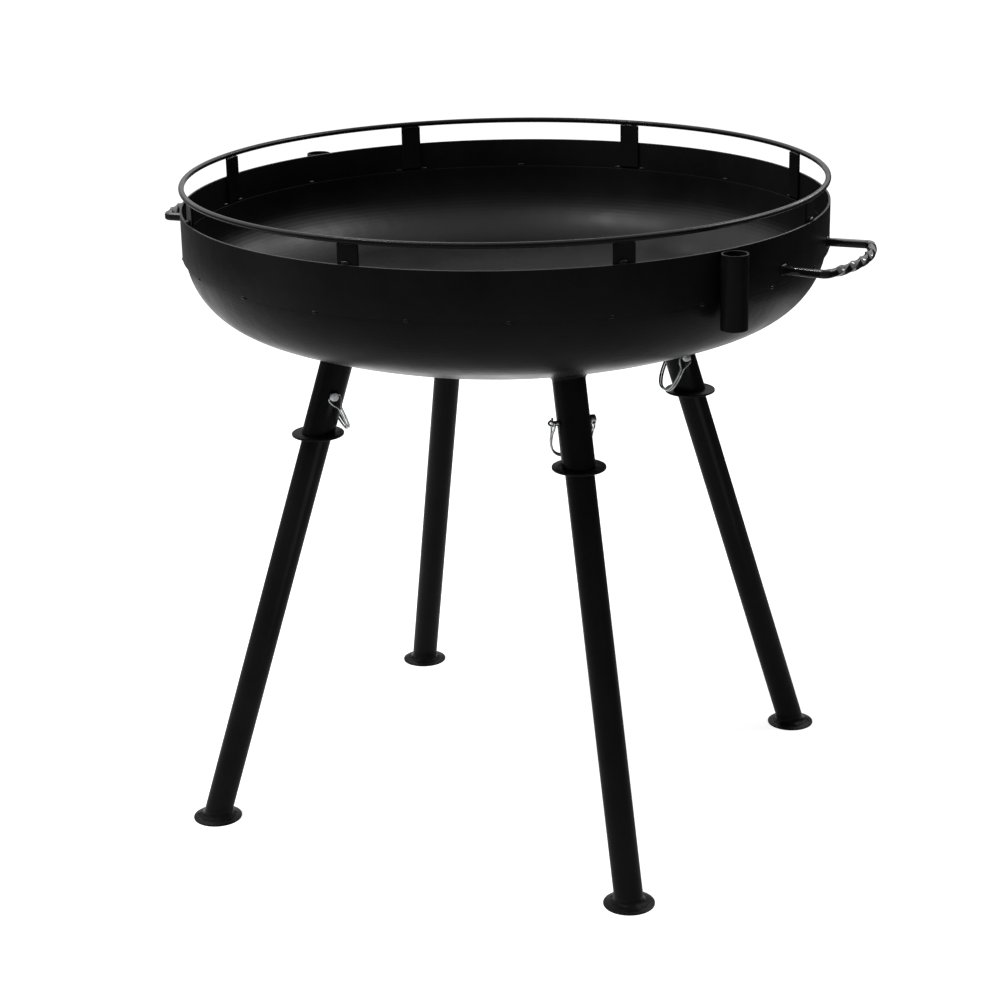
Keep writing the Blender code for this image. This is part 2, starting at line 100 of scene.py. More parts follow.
def markUpward(mesh, adjust=None):
    # Attribute "upward" on the points: the height part of the normal, 1 facing up and -1 facing down.
    # It sets the coat's shine; adjust(places, upward) can change it where less paint lies.
    count = 3 * len(mesh.vertices)
    normals, places = np.empty(count, np.float32), np.empty(count, np.float32)
    mesh.vertex_normals.foreach_get("vector", normals)
    mesh.vertices.foreach_get("co", places)
    level = np.ascontiguousarray(normals[2::3])
    if adjust:
        level = np.ascontiguousarray(adjust(places.reshape(-1, 3), level), np.float32)
    mesh.attributes.new("upward", "FLOAT", "POINT").data.foreach_set("value", level)


def newObject(name, data):
    thing = bpy.data.objects.new(name, data)
    bpy.context.scene.collection.objects.link(thing)
    return thing


def addPiece(name, mesh, finish, body=root, stands=(), adjust=None):
    # One visible piece: its material, the body that it moves with and the CAD nodes it stands for
    markUpward(mesh, adjust)
    piece = newObject(name, mesh)
    mesh.materials.clear()
    mesh.materials.append(finish)
    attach(piece, body)
    if stands:
        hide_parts(*stands)


def turns(count):
    # Even angles once round
    return np.linspace(0, 2 * math.pi, count, endpoint=False)


def circle(radius, sides):
    # x = r cos a, y = r sin a
    a = turns(sides)
    return radius * np.stack([np.cos(a), np.sin(a)], -1)


def around(radius, angle, height=0.0):
    # A point at an angle in degrees about the bowl's axis
    return np.array([radius * math.cos(math.radians(angle)), radius * math.sin(math.radians(angle)), height])


def turnedTo(angle, x, y, z):
    # Points turned by degrees about the bowl's axis: x cos - y sin, x sin + y cos, z
    c, s = math.cos(math.radians(angle)), math.sin(math.radians(angle))
    return np.stack(np.broadcast_arrays(x * c - y * s, x * s + y * c, z), -1)


def turned(outline, sides):
    # A profile of radius and height turned about Z: x = r cos a, y = r sin a, z = height
    a = turns(sides)[:, None]
    r, z = outline[:, 0][None, :], outline[:, 1][None, :]
    return np.stack([r * np.cos(a), r * np.sin(a), np.broadcast_to(z, (sides, len(outline)))], -1)


def roundedOutline(corners, radii, steps=4):
    # A closed outline whose corners are arcs. With half the corner's angle h and radius q, the arc's
    # ends lie q / tan(h) from the corner, its centre q / sin(h) along the bisector, and its points
    # turn from one end to the other at even angles.
    corners = np.asarray(corners, float)
    radii = np.broadcast_to(np.asarray(radii, float), len(corners))[:, None]
    back = np.roll(corners, 1, 0) - corners
    ahead = np.roll(corners, -1, 0) - corners
    back /= np.linalg.norm(back, axis=1, keepdims=True)
    ahead /= np.linalg.norm(ahead, axis=1, keepdims=True)
    half = np.arccos(np.clip((back * ahead).sum(1, keepdims=True), -1, 1)) / 2
    bisector = (back + ahead) / np.linalg.norm(back + ahead, axis=1, keepdims=True)
    centre = corners + bisector * radii / np.sin(half)
    start = (corners + back * radii / np.tan(half) - centre)[:, None, :]
    end = (corners + ahead * radii / np.tan(half) - centre)[:, None, :]
    sweep = (math.pi - 2 * half)[:, :, None]
    share = np.linspace(0, 1, steps + 1)[None, :, None]
    arc = (np.sin((1 - share) * sweep) * start + np.sin(share * sweep) * end) / np.sin(sweep)
    return (centre[:, None, :] + arc).reshape(-1, 2)


def held(outline, distance):
    # A closed outline with two more points on each long side, each at the distance from one of its
    # ends, so that smooth shading stays flat between them
    after = np.roll(outline, -1, 0)
    length = np.linalg.norm(after - outline, axis=1, keepdims=True)
    part = distance / np.maximum(length, distance) * (after - outline)
    points = np.stack([outline, outline + part, after - part], 1)
    keep = np.repeat(length > 4 * distance, 3, 1)
    keep[:, 0] = True
    return points[keep]


def resampled(points, spacing, closed=False):
    # Points at even distances along a path, on a Catmull-Rom curve through the given ones: a cubic
    # whose slope at each point is half the step from the one before to the one after
    points = np.asarray(points, float)
    if closed:
        padded = np.concatenate([points[-1:], points, points[:2]])
    else:
        padded = np.concatenate([2 * points[:1] - points[1:2], points, 2 * points[-1:] - points[-2:-1]])
    t = np.linspace(0, 1, 12, endpoint=False)[None, :, None]
    p0, p1, p2, p3 = (padded[i:len(padded) - 3 + i, None, :] for i in range(4))
    fine = 0.5 * (2 * p1 + (p2 - p0) * t + (2 * p0 - 5 * p1 + 4 * p2 - p3) * t ** 2
                  + (3 * p1 - p0 - 3 * p2 + p3) * t ** 3)
    fine = np.concatenate([fine.reshape(-1, 3), points[:1] if closed else points[-1:]])
    run = np.concatenate([[0], np.cumsum(np.linalg.norm(np.diff(fine, axis=0), axis=1))])
    count = max(4, int(round(run[-1] / spacing)))
    places = np.linspace(0, run[-1], count + (0 if closed else 1), endpoint=not closed)
    return np.stack([np.interp(places, run, fine[:, k]) for k in range(3)], -1)


def carriedFrames(path, closed=False):
    # Two directions across the path at each point that never spin about it. Any pair across the path
    # is taken first; the angle between each pair, carried straight over, and the next pair is added
    # up along the path and turned back. A closed path shares what is left over among its points.
    along = np.roll(path, -1, 0) - np.roll(path, 1, 0) if closed else np.gradient(path, axis=0)
    along /= np.linalg.norm(along, axis=1, keepdims=True)
    axis = np.eye(3)[np.argmin(np.abs(along), axis=1)]
    first = np.cross(along, axis)
    first /= np.linalg.norm(first, axis=1, keepdims=True)
    second = np.cross(along, first)
    after = np.roll(along, -1, 0)
    share = (first * after).sum(1, keepdims=True) / (1 + (along * after).sum(1, keepdims=True))
    moved = first - share * (along + after)
    spin = np.arctan2((moved * np.roll(second, -1, 0)).sum(1), (moved * np.roll(first, -1, 0)).sum(1))
    angle = np.concatenate([[0], np.cumsum(spin)[:-1]])
    if closed:
        left = (angle[-1] + spin[-1] + math.pi) % (2 * math.pi) - math.pi
        angle -= left * np.arange(len(path)) / len(path)
    c, s = np.cos(angle)[:, None], np.sin(angle)[:, None]
    return c * first + s * second, c * second - s * first


def carried(path, section, closed=False, size=1.0):
    # A flat section carried along a path: point = path + x times one cross direction + y times the
    # other. Size swells or narrows it, as one number, one for each path point, or one for each point.
    first, second = carriedFrames(path, closed)
    size = np.asarray(size, float)
    if size.ndim == 1:
        size = size[:, None]
    full = (len(path), len(section))
    x, y = (np.broadcast_to(section[:, k][None, :] * size, full)[..., None] for k in range(2))
    return path[:, None, :] + x * first[:, None, :] + y * second[:, None, :]


def roundedEnd(distance, least):
    # Size of a rod at a distance from its end, in radii: the quarter circle sqrt(1 - (1 - d) squared)
    return np.sqrt(np.clip(1 - (1 - np.clip(distance, 0, 1)) ** 2, least, 1))


# Finishes

def wire(tree, source, target):
    tree.links.new(source, target)


def setInputs(node, values):
    for socket, value in values.items():
        node.inputs[socket].default_value = value


def noiseNode(tree, place, scale, detail, roughness=0.5):
    noise = tree.nodes.new("ShaderNodeTexNoise")
    setInputs(noise, {"Scale": scale, "Detail": detail, "Roughness": roughness})
    wire(tree, place, noise.inputs["Vector"])
    return noise.outputs["Fac"]


def rangeNode(tree, value, low, high, toLow, toHigh, soft=False):
    spread = tree.nodes.new("ShaderNodeMapRange")
    spread.interpolation_type = "SMOOTHSTEP" if soft else "LINEAR"
    setInputs(spread, {"From Min": low, "From Max": high, "To Min": toLow, "To Max": toHigh})
    wire(tree, value, spread.inputs["Value"])
    return spread.outputs["Result"]


def mathNode(tree, operation, first, second):
    work = tree.nodes.new("ShaderNodeMath")
    work.operation = operation
    wire(tree, first, work.inputs[0])
    wire(tree, second, work.inputs[1])
    return work.outputs["Value"]


def blendNode(tree, share, first, second):
    # Mixes by a share two colours, each given as three numbers or as the output of a node
    mix = tree.nodes.new("ShaderNodeMix")
    mix.data_type = "RGBA"
    wire(tree, share, mix.inputs["Factor"])
    for socket, colour in (("A", first), ("B", second)):
        if isinstance(colour, tuple):
            mix.inputs[socket].default_value = (*colour, 1.0)
        else:
            wire(tree, colour, mix.inputs[socket])
    return mix.outputs["Result"]


def bumpNode(tree, height, depth, below=None):
    bump = tree.nodes.new("ShaderNodeBump")
    bump.inputs["Distance"].default_value = depth
    wire(tree, height, bump.inputs["Height"])
    if below:
        wire(tree, below, bump.inputs["Normal"])
    return bump.outputs["Normal"]


def newFinish(name):
    finish = bpy.data.materials.new(name)
    finish.use_nodes = True
    tree = finish.node_tree
    place = tree.nodes.new("ShaderNodeTexCoord").outputs["Object"]
    return finish, tree, tree.nodes["Principled BSDF"], place


# each noise is given by its scale per metre, its detail and, where it isn't 0.5, its roughness
coat = {
    "dark": (0.0040, 0.0040, 0.0042),
    "light": (0.0070, 0.0069, 0.0068),
    "cloud": (9.0, 5.0, 0.6),
    "cloudRange": (0.35, 0.65),
    "dust": (0.10, 0.10, 0.10),
    "specks": (420.0, 3.0, 0.7),
    "specksRange": (0.66, 0.80),
    "roughness": (0.36, 0.46),
    "patches": (24.0, 4.0, 0.55),
    "patchesRange": (0.3, 0.7),
    "evener": 0.07,             # less roughness on faces that don't look up
    "specular": 0.036,          # level on upright faces, where the coat lies thin
    "wet": (0.22, 0.60),        # upward part of the normal over which it comes to lie thick
    "sag": (-0.72, -0.96),      # the same for the underside, where it has run down
    "sagGloss": 0.14,
    "peel": (1500.0, 2.0),      # fine texture of the sprayed coat
    "peelDepth": 0.00004,
    "swell": (55.0, 2.0),       # slow unevenness of the sheet under the coat
    "swellDepth": 0.0004,
}


def blackCoat(name, gloss, smooth=0.0, peel=1.0, swell=1.0, dust=0.0, index=1.5):
    # Sprayed satin black: cloudy colour and gloss, a fine orange peel and a slow swell in the bump,
    # and on bowl pieces a little pale dust. Faces that look up took more paint and shine more.
    finish, tree, shader, place = newFinish(name)
    cloud = rangeNode(tree, noiseNode(tree, place, *coat["cloud"]), *coat["cloudRange"], 0.0, 1.0)
    colour = blendNode(tree, cloud, coat["dark"], coat["light"])
    if dust:
        specks = rangeNode(tree, noiseNode(tree, place, *coat["specks"]), *coat["specksRange"], 0.0, dust)
        colour = blendNode(tree, specks, colour, coat["dust"])
    wire(tree, colour, shader.inputs["Base Color"])
    upward = tree.nodes.new("ShaderNodeAttribute")
    upward.attribute_name = "upward"
    upward = upward.outputs["Fac"]
    low, high = (value - smooth for value in coat["roughness"])
    patches = rangeNode(tree, noiseNode(tree, place, *coat["patches"]), *coat["patchesRange"], low, high)
    evener = rangeNode(tree, upward, *coat["wet"], coat["evener"], 0.0, soft=True)
    wire(tree, mathNode(tree, "SUBTRACT", patches, evener), shader.inputs["Roughness"])
    wet = rangeNode(tree, upward, *coat["wet"], coat["specular"], gloss, soft=True)
    sag = rangeNode(tree, upward, *coat["sag"], coat["specular"], coat["sagGloss"], soft=True)
    wire(tree, mathNode(tree, "MAXIMUM", wet, sag), shader.inputs["Specular IOR Level"])
    shader.inputs["IOR"].default_value = index
    coarse = bumpNode(tree, noiseNode(tree, place, *coat["swell"]), coat["swellDepth"] * swell)
    fine = bumpNode(tree, noiseNode(tree, place, *coat["peel"]), coat["peelDepth"] * peel, coarse)
    wire(tree, fine, shader.inputs["Normal"])
    return finish


zinc = {
    "dark": (0.12, 0.125, 0.13),
    "light": (0.34, 0.35, 0.36),
    "cloud": (160.0, 4.0, 0.6),
    "roughness": (0.18, 0.36),
    "marks": (900.0, 3.0, 0.6),
    "markDepth": 0.00002,
    "range": (0.3, 0.7),        # of both noises
}


def zincPlate(name):
    # Bright zinc plate on drawn wire: slightly cloudy, with fine draw marks in gloss and bump
    finish, tree, shader, place = newFinish(name)
    cloud = rangeNode(tree, noiseNode(tree, place, *zinc["cloud"]), *zinc["range"], 0.0, 1.0)
    wire(tree, blendNode(tree, cloud, zinc["dark"], zinc["light"]), shader.inputs["Base Color"])
    marks = noiseNode(tree, place, *zinc["marks"])
    wire(tree, rangeNode(tree, marks, *zinc["range"], *zinc["roughness"]), shader.inputs["Roughness"])
    shader.inputs["Metallic"].default_value = 1.0
    wire(tree, bumpNode(tree, marks, zinc["markDepth"]), shader.inputs["Normal"])
    return finish


sheetCoat = blackCoat("sheet_coat", 0.50, dust=0.10)
barCoat = blackCoat("bar_coat", 0.38, smooth=0.12, peel=0.8, swell=0.5)
gripCoat = blackCoat("grip_coat", 0.95, smooth=0.24, peel=0.10, swell=0.4, index=2.1)
tubeCoat = blackCoat("tube_coat", 0.16, peel=0.9, swell=0.6)
legCoat = blackCoat("leg_coat", 0.12, smooth=-0.12, peel=0.9, swell=0.6)
weldCoat = blackCoat("weld_coat", 0.50, smooth=0.14, peel=0.6, swell=1.6)
zincCoat = zincPlate("zinc_plate")
print("finishes made")


# Bowl: dished floor and rim band

bowl = {
    "radius": 0.381,            # outside of the rim band
    "rim": 0.739,               # height of its top edge
    "sheet": 0.0025,
    "bandHeight": 0.0545,
    "dishLap": 0.0195,          # the dish's edge above the band's bottom
    "flange": 0.010,
    "knuckle": 0.090,           # outside radius of the turn from wall to floor
    "crown": 0.875,             # outside radius of the floor
    "gap": 0.0003,
    "edge": 0.0007,             # rounding of the sheet's edges
    "hem": 0.00012,             # of the band's lower edge
    "hold": 0.0006,             # from an edge's rounding to the row that keeps the face beside it flat
    "rows": (40, 22),           # points along the floor and the knuckle
    "sides": 256,
    "dullEdge": 0.002,          # so far down from its edge the dish has little paint
    "dullHem": -0.5,            # lowest "upward" of the band
}
bowl["bandBottom"] = bowl["rim"] - bowl["bandHeight"]
bowl["dishRadius"] = bowl["radius"] - bowl["sheet"] - bowl["gap"]
bowl["dishEdge"] = bowl["bandBottom"] + bowl["dishLap"]
bowl["knuckleZ"] = bowl["dishEdge"] - bowl["flange"]
bowl["knuckleR"] = bowl["dishRadius"] - bowl["knuckle"]
bowl["crownZ"] = bowl["knuckleZ"] + math.sqrt((bowl["crown"] - bowl["knuckle"]) ** 2 - bowl["knuckleR"] ** 2)


def dishSkin(depth):
    # From the pole out: an arc of the floor's sphere, then an arc of the knuckle, both at a depth
    # inside the outer skin, meeting where the line through both centres cuts them
    crown, knuckle = bowl["crown"] - depth, bowl["knuckle"] - depth
    meeting = math.acos(bowl["knuckleR"] / (bowl["crown"] - bowl["knuckle"]))
    a = np.linspace(math.pi / 2, meeting, bowl["rows"][0])[:-1]
    b = np.linspace(meeting, 0, bowl["rows"][1])
    floor = np.stack([crown * np.cos(a), bowl["crownZ"] - crown * np.sin(a)], -1)
    turn = np.stack([bowl["knuckleR"] + knuckle * np.cos(b), bowl["knuckleZ"] - knuckle * np.sin(b)], -1)
    return np.concatenate([floor, turn])


def dishMesh():
    # Inner skin up, rounded edge over, outer skin down, turned about the bowl's axis
    outer, inner = dishSkin(0.0), dishSkin(bowl["sheet"])
    outer[0, 0] = inner[0, 0] = 0.0
    e, a = bowl["edge"], np.linspace(math.pi, math.pi / 2, 5)
    across, height = e * np.cos(a), bowl["dishEdge"] - e + e * np.sin(a)
    near = np.stack([bowl["dishRadius"] - bowl["sheet"] + e + across, height], -1)
    far = np.stack([bowl["dishRadius"] - e - across, height], -1)[::-1]
    outline = held(np.concatenate([inner, near, far, outer[::-1]]), bowl["hold"])
    return meshFromGrid("bowl_dish_skin", turned(outline, bowl["sides"]), closeRows=True)


def bandMesh():
    # A rounded upright section turned about the bowl's axis. No rows hold its faces flat, so the tone
    # runs on smoothly over the painted seam below.
    r, t = bowl["radius"], bowl["sheet"]
    corners = [(r, bowl["rim"]), (r, bowl["bandBottom"]), (r - t, bowl["bandBottom"]), (r - t, bowl["rim"])]
    outline = roundedOutline(corners, [bowl["edge"], bowl["hem"], bowl["hem"], bowl["edge"]], 3)
    return meshFromGrid("rim_band_ring", turned(outline, bowl["sides"]), closeRows=True, closeColumns=True)


def dullDishEdge(places, upward):
    # Near its top edge the dish counts as upright at most
    edge = places[:, 2] > bowl["dishEdge"] - bowl["dullEdge"]
    return np.where(edge, np.minimum(upward, 0.0), upward)


# the dish's top edge and the band's lower edge took little paint and show no shining line
addPiece("bowlDish", dishMesh(), sheetCoat, stands=["bowl_dish"], adjust=dullDishEdge)
addPiece("rimBand", bandMesh(), sheetCoat, stands=["rim_band"],
         adjust=lambda places, upward: np.maximum(upward, bowl["dullHem"]))
print("bowl done")


# Guard rail and its posts

rail = {
    "rod": 0.0066,
    "rise": 0.0259,             # middle of the rod above the rim
    "sides": (288, 20),         # round the ring and round the rod
    "posts": 8,
    "postWidth": 0.025,
    "postThick": 0.003,
    "postFoot": 0.003,          # post's end above the dish's edge
    "postRoom": 0.0002,         # more room between post and band
    "postEdge": 0.0006,
}
rail["height"] = bowl["rim"] + rail["rise"]
rail["radius"] = bowl["radius"] - rail["rod"] / 2


def railMesh():
    # A small circle carried along a large one at the rail's height
    count, sides = rail["sides"]
    path = np.column_stack([circle(rail["radius"], count), np.full(count, rail["height"])])
    return meshFromGrid("guard_rail_rod", carried(path, circle(rail["rod"] / 2, sides), closed=True),
                        closeRows=True, closeColumns=True)


def postMesh(angle):
    # A rounded flat section stood up inside the band, its ends drawn in by the same rounding
    foot = bowl["dishEdge"] + rail["postFoot"]
    top = rail["height"] - rail["rod"] / 2 - bowl["gap"]
    e, w, t = rail["postEdge"], rail["postWidth"] / 2, rail["postThick"] / 2
    section = held(roundedOutline([(t, w), (-t, w), (-t, -w), (t, -w)], e, 4), bowl["hold"])
    a, keep = np.linspace(0, math.pi / 2, 4), e + bowl["hold"]
    inset, rise = e * (1 - np.sin(a)), e * (1 - np.cos(a))
    inset = np.concatenate([inset, [0, 0], inset[::-1]])
    level = np.concatenate([foot + rise, [foot + keep, top - keep], top - rise[::-1]])
    flat = section * (1 - inset[:, None, None] / np.array([t, w]))
    middle = bowl["radius"] - bowl["sheet"] - bowl["gap"] - rail["postThick"] / 2 - rail["postRoom"]
    grid = turnedTo(angle, middle + flat[..., 0], flat[..., 1], level[:, None])
    return meshFromGrid("rail_post_bar", grid, closeColumns=True, capEnds=True)


addPiece("guardRail", railMesh(), barCoat, stands=["guard_rail"])
for i in range(rail["posts"]):
    addPiece("railPost_%d" % (i + 1), postMesh(360.0 * i / rail["posts"]), barCoat,
             stands=["rail_post_%d" % (i + 1)])
print("rail done")


# Handles of twisted square bar

handle = {
    "bar": 0.009,
    "corner": (0.0024, 0.0007),     # rounding of the bar's edges on the arms and on the grip
    "drop": 0.040,              # middle of the bar below the rim
    "spread": 0.149,            # between the roots of the arms
    "grip": 0.158,              # between the corners, where the arms have spread
    "reach": 0.0425,
    "bulge": 0.017,
    "bend": 0.007,
    "pitch": 0.093,             # length of one full turn of the twist
    "plain": 0.004,             # untwisted bar next to each corner
    "rows": 460,
    "crease": 50.0,
    "dullFrom": 0.004,          # so far inside the corners the handled, duller part begins
    "dull": 0.31,               # highest "upward" there
    "places": {"right": 0.0, "left": 180.0},
}


def handlePath():
    # Plan of the bar's middle: a straight arm, a corner arc, the wide grip arc, a corner arc and the
    # other arm. The grip is a circle through both corners that bulges outwards. A corner arc touches
    # the arm and the grip: its centre lies one bend radius inside both.
    half, corner, bend = handle["grip"] / 2, bowl["radius"] + handle["reach"], handle["bend"]
    big = (half ** 2 + handle["bulge"] ** 2) / (2 * handle["bulge"])
    middle = corner + handle["bulge"] - big
    rootY = handle["spread"] / 2
    rootX = math.sqrt((bowl["radius"] + bowl["gap"]) ** 2 - rootY ** 2)
    arm = np.array([corner - rootX, half - rootY])
    arm /= np.linalg.norm(arm)
    inward = np.array([arm[1], -arm[0]])
    # the centre is start + t arm, one bend inside the arm, at the distance big - bend from the grip's centre
    start = np.array([rootX, rootY]) + bend * inward - [middle, 0]
    along = start @ arm
    t = -along + math.sqrt(along ** 2 - start @ start + (big - bend) ** 2)
    bendX, bendY = start + t * arm + [middle, 0]
    meet = math.atan2(bendY, bendX - middle)
    armTurn = math.atan2(-inward[1], -inward[0])
    sweep = armTurn - meet
    lengths = np.array([t, bend * sweep, 2 * meet * big, bend * sweep, t])
    ends = np.cumsum(lengths)
    s = np.linspace(0, ends[-1], handle["rows"])
    part = np.searchsorted(ends[:-1], s, side="right")
    d = s - np.concatenate([[0], ends[:-1]])[part]
    firstBend, grip, lastBend = -armTurn + d / bend, -meet + d / big, meet + d / bend
    x = np.choose(part, [rootX + d * arm[0], bendX + bend * np.cos(firstBend), middle + big * np.cos(grip),
                         bendX + bend * np.cos(lastBend), rootX + (t - d) * arm[0]])
    y = np.choose(part, [-rootY - d * arm[1], bend * np.sin(firstBend) - bendY, big * np.sin(grip),
                         bendY + bend * np.sin(lastBend), rootY + (t - d) * arm[1]])
    twisted = lengths[2] - 2 * handle["plain"]
    share = np.clip((s - ends[1] - handle["plain"]) / twisted, 0, 1)
    return np.stack([x, y], -1), share * round(4 * twisted / handle["pitch"]) * math.pi / 2


def handleMesh(angle):
    # The rounded square turns as it goes: across = u cos(twist) - v sin(twist) in plan and
    # up = u sin(twist) + v cos(twist). Both ends are pulled on to the band's round face.
    path, twist = handlePath()
    h = handle["bar"] / 2
    square = [(h, h), (-h, h), (-h, -h), (h, -h)]
    plain, worked = (roundedOutline(square, radius, 4) for radius in handle["corner"])
    share = np.clip(np.minimum(twist, twist[-1] - twist), 0, 1)[:, None, None]
    section = plain + share * (worked - plain)
    along = np.gradient(path, axis=0)
    along /= np.linalg.norm(along, axis=1, keepdims=True)
    u, v = section[..., 0], section[..., 1]
    c, s = np.cos(twist)[:, None], np.sin(twist)[:, None]
    across, up = u * c - v * s, u * s + v * c
    x, y = path[:, :1] + across * along[:, 1:], path[:, 1:] - across * along[:, :1]
    for end in (0, -1):
        x[end] = np.sqrt((bowl["radius"] + bowl["gap"]) ** 2 - y[end] ** 2)
    grid = turnedTo(angle, x, y, bowl["rim"] - handle["drop"] + up)
    return meshFromGrid("twisted_handle", grid, closeColumns=True, capEnds=True, sharp=handle["crease"])


def dullGrip(places, upward):
    # Beyond the arms the handled bar shines less
    grip = abs(places[:, 0]) > bowl["radius"] + handle["reach"] - handle["dullFrom"]
    return np.where(grip, np.minimum(upward, handle["dull"]), upward)


for side, angle in handle["places"].items():
    addPiece("handle_" + side + "_bar", handleMesh(angle), gripCoat, stands=["handle_" + side],
             adjust=dullGrip)
print("handles done")


# Pole holders

holder = {
    "diameter": 0.030,
    "wall": 0.002,
    "length": 0.083,
    "drop": 0.0016,             # top below the rim
    "edge": 0.0006,
    "stop": 0.003,              # thickness of the plate in its bottom
    "stopEdge": 0.0004,
    "sides": 64,
    "places": {"front": -26.4, "rear": 153.6},
}
holder["distance"] = bowl["radius"] + bowl["gap"] + holder["diameter"] / 2
holder["top"] = bowl["rim"] - holder["drop"]
holder["bottom"] = holder["top"] - holder["length"]


def holderMesh(angle):
    # A rounded upright wall section turned about the tube's own axis
    o, i = holder["diameter"] / 2, holder["diameter"] / 2 - holder["wall"]
    corners = [(o, holder["top"]), (o, holder["bottom"]), (i, holder["bottom"]), (i, holder["top"])]
    outline = held(roundedOutline(corners, holder["edge"], 3), bowl["hold"])
    grid = turned(outline, holder["sides"]) + around(holder["distance"], angle)
    return meshFromGrid("pole_tube", grid, closeRows=True, closeColumns=True)


def stopMesh(angle):
    # A chamfered disc turned about the same axis
    r, e = holder["diameter"] / 2 - holder["wall"] - bowl["gap"], holder["stopEdge"]
    low, high = holder["bottom"], holder["bottom"] + holder["stop"]
    outline = np.array([(0, high), (r - e, high), (r, high - e), (r, low + e), (r - e, low), (0, low)])
    grid = turned(outline, holder["sides"]) + around(holder["distance"], angle)
    return meshFromGrid("stop_disc", grid, closeRows=True)


for side, angle in holder["places"].items():
    addPiece("poleHolder_" + side, holderMesh(angle), tubeCoat, stands=["pole_holder_" + side])
    addPiece("poleStop_" + side, stopMesh(angle), tubeCoat, stands=["pole_stop_" + side])
print("pole holders done")


# Legs: sockets, tubes, collars and feet

leg = {
    "splay": math.radians(17.467),
    "circle": 0.2082,           # radius where the leg's axis meets the dish
    "diameter": 0.0334,
    "wall": 0.002,
    "slide": 0.00035,           # room between leg and socket
    "socketWall": 0.002,
    "socketLength": 0.1022,
    "topGap": 0.020,            # from the dish to the leg's upper end
    "round": 0.0006,            # rounding of the tubes' ends
    "collar": 0.062,
    "collarThick": 0.003,
    "collarEdge": 0.0009,
    "foot": 0.059,
    "footFlat": 0.043,          # its level top, inside the slope
    "footHeight": 0.0045,
    "footEdge": 0.002,          # height of the rim
    "footRound": (0.006, 0.0007),   # rounding at the top of the slope and of the rim
    "sides": 96,
    "footSides": 80,
    # degrees about the bowl, and on which side the pin's head is
    "names": {"front_right": (-45.0, 1), "rear_right": (45.0, -1), "rear_left": (135.0, -1),
              "front_left": (225.0, 1)},
}
leg["top"] = bowl["crownZ"] - math.sqrt(bowl["crown"] ** 2 - leg["circle"] ** 2)
leg["collarTop"] = leg["top"] - leg["socketLength"] * math.cos(leg["splay"])
leg["bore"] = leg["diameter"] / 2 + leg["slide"]
leg["socketOut"] = leg["bore"] + leg["socketWall"]


def legAxes(angle):
    # Rows: the leg's outward, sideways and upward directions, and the point where it meets the dish
    s, c = math.sin(leg["splay"]), math.cos(leg["splay"])
    out, side = around(1.0, angle), around(1.0, angle + 90)
    axes = np.array([out * c + [0, 0, s], side, [0, 0, c] - out * s])
    return axes, around(leg["circle"], angle, leg["top"])


def axisRadius(height):
    # How far out the leg's axis is at a height
    return leg["circle"] + (leg["top"] - height) * math.tan(leg["splay"])


def aroundLeg(centre, radius, a, across):
    # centre + radius cos a times the first direction + radius sin a times the second
    return centre + (radius * np.cos(a))[..., None] * across[0] + (radius * np.sin(a))[..., None] * across[1]


def toDish(axes, top, start):
    # Distance up the leg from each start point to the outside of the dish's floor, less the gap: the
    # near root of |start + t up - centre| = radius
    gap = start - np.array([0, 0, bowl["crownZ"]])
    b = (gap * axes[2]).sum(-1)
    radius = bowl["crown"] + bowl["gap"]
    return -b - np.sqrt(b * b - (gap * gap).sum(-1) + radius * radius)


def toLevel(height):
    # The same to a level plane: what is left of the height, over the leg's rise per unit of length
    return lambda axes, top, start: (height - start[..., 2]) / axes[2][2]


def slantTube(name, angle, outer, inner, topEnd, bottomEnd):
    # A tube along the leg. Round the tube a = 0..2 pi, and along a rounded wall outline that runs from
    # the bottom end to the top end outside and back inside; each point's height along the leg comes
    # from where its own line meets the surface that cuts that end.
    axes, top = legAxes(angle)
    e, q = leg["round"], np.linspace(0, math.pi / 2, 4)
    turnIn, turnUp, keep = e * (1 - np.cos(q)), e * (1 - np.sin(q)), e + bowl["hold"]
    radii = np.concatenate([outer - turnIn[::-1], [outer, outer], outer - turnIn,
                            inner + turnIn[::-1], [inner, inner], inner + turnIn])
    offset = np.concatenate([turnUp[::-1], [keep, -keep], -turnUp, -turnUp[::-1], [-keep, keep], turnUp])
    upper = np.repeat([False, True, False], [5, 10, 5])
    start = aroundLeg(top, radii, turns(leg["sides"])[:, None], axes)
    reach = np.where(upper, topEnd(axes, top, start), bottomEnd(axes, top, start)) + offset
    return meshFromGrid(name, start + reach[..., None] * axes[2], closeRows=True, closeColumns=True)


def socketMesh(angle):
    # From the dish down to just above the collar
    return slantTube("leg_socket_tube", angle, leg["socketOut"], leg["bore"], toDish,
                     toLevel(leg["collarTop"] + bowl["gap"]))


def legMesh(angle):
    # Cut square inside the socket and level on the foot
    outer = leg["diameter"] / 2
    return slantTube("leg_tube_long", angle, outer, outer - leg["wall"],
                     lambda axes, top, start: np.full(start.shape[:-1], -leg["topGap"]),
                     toLevel(leg["footHeight"] + bowl["gap"]))


